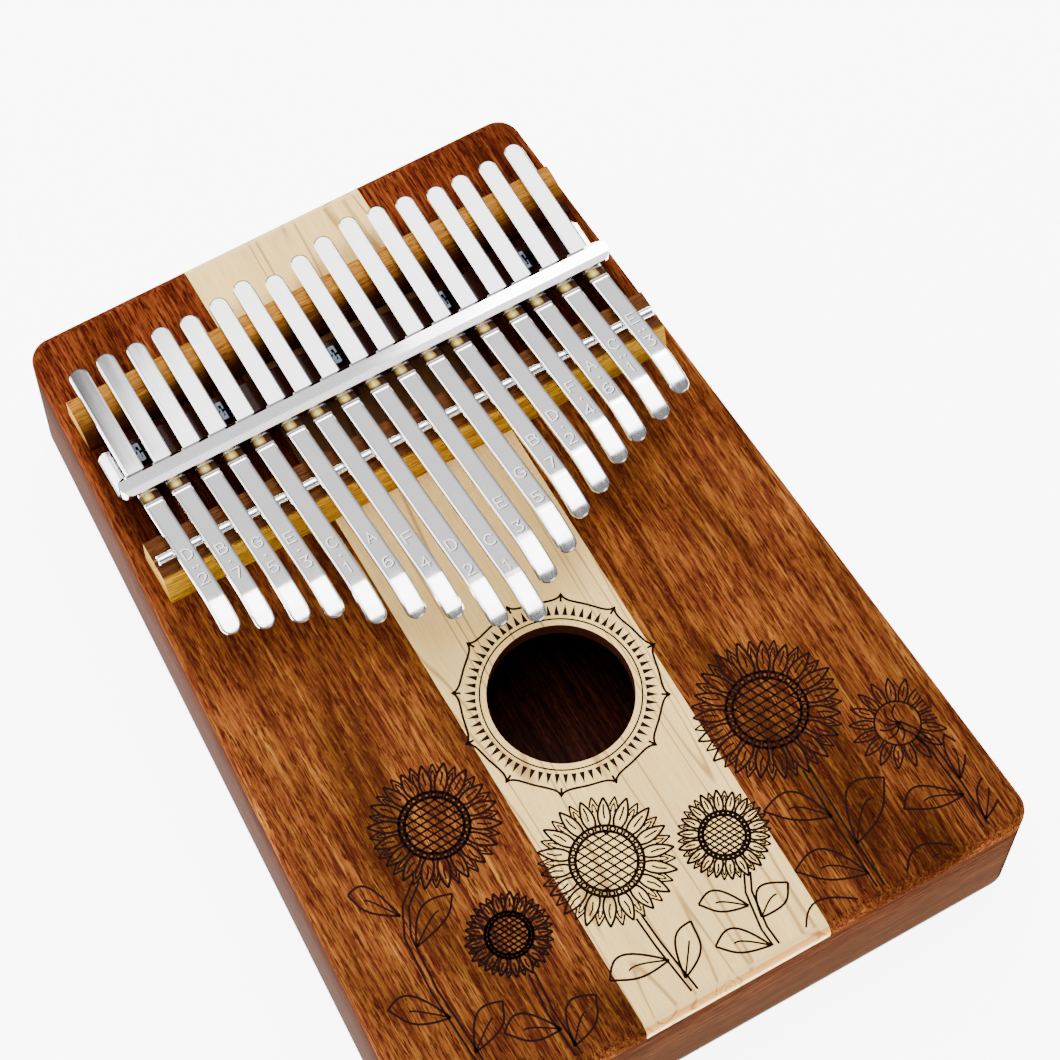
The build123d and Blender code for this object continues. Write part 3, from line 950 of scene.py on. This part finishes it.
# how far in and how far down each row of the bevelled section lies
SECTION = [
    (BEVEL, 0.0),
    (0.3 * BEVEL, 0.3 * BEVEL),
    (0.0, BEVEL),
    (0.0, THICK - BEVEL),
    (0.3 * BEVEL, THICK - 0.3 * BEVEL),
    (BEVEL, THICK),
]


def stations(path, half):
    """The cross-sections of one tine, through its two round ends."""
    flat = path.total - 2 * half
    middle = int(flat / LENGTH_STEP)
    made = [("start", math.pi / 2 * i / END_STEPS) for i in range(END_STEPS)]
    made += [("middle", half + flat * i / middle) for i in range(middle + 1)]
    made += [("end", math.pi / 2 * i / END_STEPS) for i in range(1, END_STEPS + 1)]
    return made


def section_points(path, centre_x, half, kind, value):
    made = []
    for inset, depth in SECTION:
        r = half - inset
        if kind == "start":
            s, x = half - r * math.cos(value), r * math.sin(value)
        elif kind == "middle":
            s, x = value, r
        else:
            s, x = path.total - half + r * math.sin(value), r * math.cos(value)
        made.append(path.point(centre_x - x, s, depth))
        made.append(path.point(centre_x + x, s, depth))
    return made


def band_faces(count):
    """Faces round the tine, from each cross-section to the next."""
    row = 2 * len(SECTION)
    last = row - 2
    faces = []
    for i in range(count - 1):
        a, b = i * row, (i + 1) * row
        faces.append((a, a + 1, b + 1, b))
        faces.append((a + last, b + last, b + last + 1, a + last + 1))
        for k in range(len(SECTION) - 1):
            left = 2 * k
            faces.append((a + left, b + left, b + left + 2, a + left + 2))
            faces.append((a + left + 1, a + left + 3, b + left + 3, b + left + 1))
    return faces


def strip_mesh(name, path, centre_x, half):
    """The bent steel strip, as one closed mesh."""
    rows = stations(path, half)
    verts = []
    for kind, value in rows:
        verts += section_points(path, centre_x, half, kind, value)
    mesh = bpy.data.meshes.new(name)
    mesh.from_pydata([tuple(v) for v in verts], [], band_faces(len(rows)))
    builder = bmesh.new()
    builder.from_mesh(mesh)
    bmesh.ops.remove_doubles(builder, verts=builder.verts, dist=SAME_POINT)
    bmesh.ops.dissolve_degenerate(builder, edges=builder.edges, dist=SAME_POINT)
    bmesh.ops.recalc_face_normals(builder, faces=builder.faces)
    builder.to_mesh(mesh)
    builder.free()
    for polygon in mesh.polygons:
        polygon.use_smooth = True
    mesh.set_sharp_from_angle(angle=math.radians(20))
    return mesh


def add_label(mesh, path, centre_x, text):
    """White marks, and below them the same marks in a dark colour, moved a little, as painted shade beside
    the engraving.
    """
    builder = bmesh.new()
    builder.from_mesh(mesh)
    for slot, shift, lift in ((1, 0.0, MARK_LIFT), (2, SHADE_SHIFT, SHADE_LIFT)):
        marks = label_strokes(path, centre_x, text, shift, lift).mesh("marks")
        done = len(builder.faces)
        builder.from_mesh(marks)
        builder.faces.ensure_lookup_table()
        for face in builder.faces[done:]:
            face.material_index = slot
        bpy.data.meshes.remove(marks)
    builder.to_mesh(mesh)
    builder.free()


def make_tine(number):
    """One tine, fixed behind the saddle rod, with its key in front of it, as one mesh in place of its tail
    and key parts.
    """
    tail_node = f"tine_{number:02d}_tail"
    key_node = f"tine_{number:02d}_key"
    tail_low, tail_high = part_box(tail_node)
    key_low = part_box(key_node)[0]
    centre_x = (tail_low.x + tail_high.x) / 2
    half = (tail_high.x - tail_low.x) / 2
    path = TinePath(tail_high.y, key_low.y, tail_low.z + THICK)
    mesh = strip_mesh(f"tine_{number:02d}", path, centre_x, half)
    for material in (tine_steel, engraved, engraving_painted_shade):
        mesh.materials.append(material)
    add_label(mesh, path, centre_x, LABELS[number - 1])
    piece = bpy.data.objects.new(f"tine_{number:02d}", mesh)
    bpy.context.scene.collection.objects.link(piece)
    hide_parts(tail_node, key_node)
    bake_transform(piece)


for number in range(1, COUNT + 1):
    make_tine(number)


# ---- floor, light and camera -------------------------------------------------
floor_shader = Shader("floor_paper")
floor_tone = floor_shader.noise(floor_shader.space(60, 60, 60), 2, 0.5, 0.0, 4)
floor_shader.colour(floor_shader.ramp(floor_tone, (0.3, (0.93, 0.93, 0.93)), (0.7, (0.95, 0.95, 0.95))))
floor_shader.set(Roughness=0.9, Specular_IOR_Level=0.1, Emission_Color=(1, 1, 1, 1), Emission_Strength=7.0)
floor_mesh = bpy.data.meshes.new("floor")
reach = 3.0
corners = [(-reach, -reach, 0), (reach, -reach, 0), (reach, reach, 0), (-reach, reach, 0)]
floor_mesh.from_pydata(corners, [], [(0, 1, 2, 3)])
floor_mesh.materials.append(floor_shader.material)
floor = bpy.data.objects.new("floor", floor_mesh)
floor.location.z = -0.05 * MM
bpy.context.scene.collection.objects.link(floor)

world = bpy.data.worlds.new("studio")
world.use_nodes = True
sky_light = world.node_tree.nodes["Background"].inputs
sky_light["Color"].default_value = (0.95, 0.97, 1.0, 1.0)
sky_light["Strength"].default_value = 0.30
bpy.context.scene.world = world


def softbox(name, place, tilt, turn, width, height, power):
    """A rectangular lamp that faces down, tilted and then turned by degrees."""
    data = bpy.data.lights.new(name, "AREA")
    data.shape = "RECTANGLE"
    data.size = width
    data.size_y = height
    data.energy = power
    lamp = bpy.data.objects.new(name, data)
    lamp.location = place
    lamp.rotation_euler = (math.radians(tilt), 0.0, math.radians(turn))
    bpy.context.scene.collection.objects.link(lamp)


softbox("overhead", (0.263, 0.336, 1.20), 0.0, 42.0, 1.80, 0.643, 32)
softbox("sky", (0.30, 2.10, 1.70), 0.0, 0.0, 4.0, 4.0, 48)
softbox("left_side", (-1.6, 0.55, 0.45), 80.0, -109.0, 1.4, 0.6, 6)
softbox("left_strip", (-1.15, 1.25, 1.50), 0.0, 0.0, 0.75, 2.1, 14)
softbox("front_strip", (0.45, -1.80, 0.75), 68.0, 14.0, 1.6, 0.5, 5)
softbox("bar_glint", (0.59, 0.87, 1.19), 0.0, 0.0, 0.56, 0.20, 2.0)

camera_data = bpy.data.cameras.new("camera")
camera_data.sensor_width = 36.0
camera_data.lens = 116.5
camera_data.clip_start = 0.05
camera_data.clip_end = 20.0
camera = bpy.data.objects.new("camera", camera_data)
bpy.context.scene.collection.objects.link(camera)
camera.location = (-0.1351, -0.2358, 0.6468)
camera.rotation_euler = (math.radians(24.8671), math.radians(-0.5930), math.radians(-29.9989))
bpy.context.scene.camera = camera

bpy.context.view_layer.update()
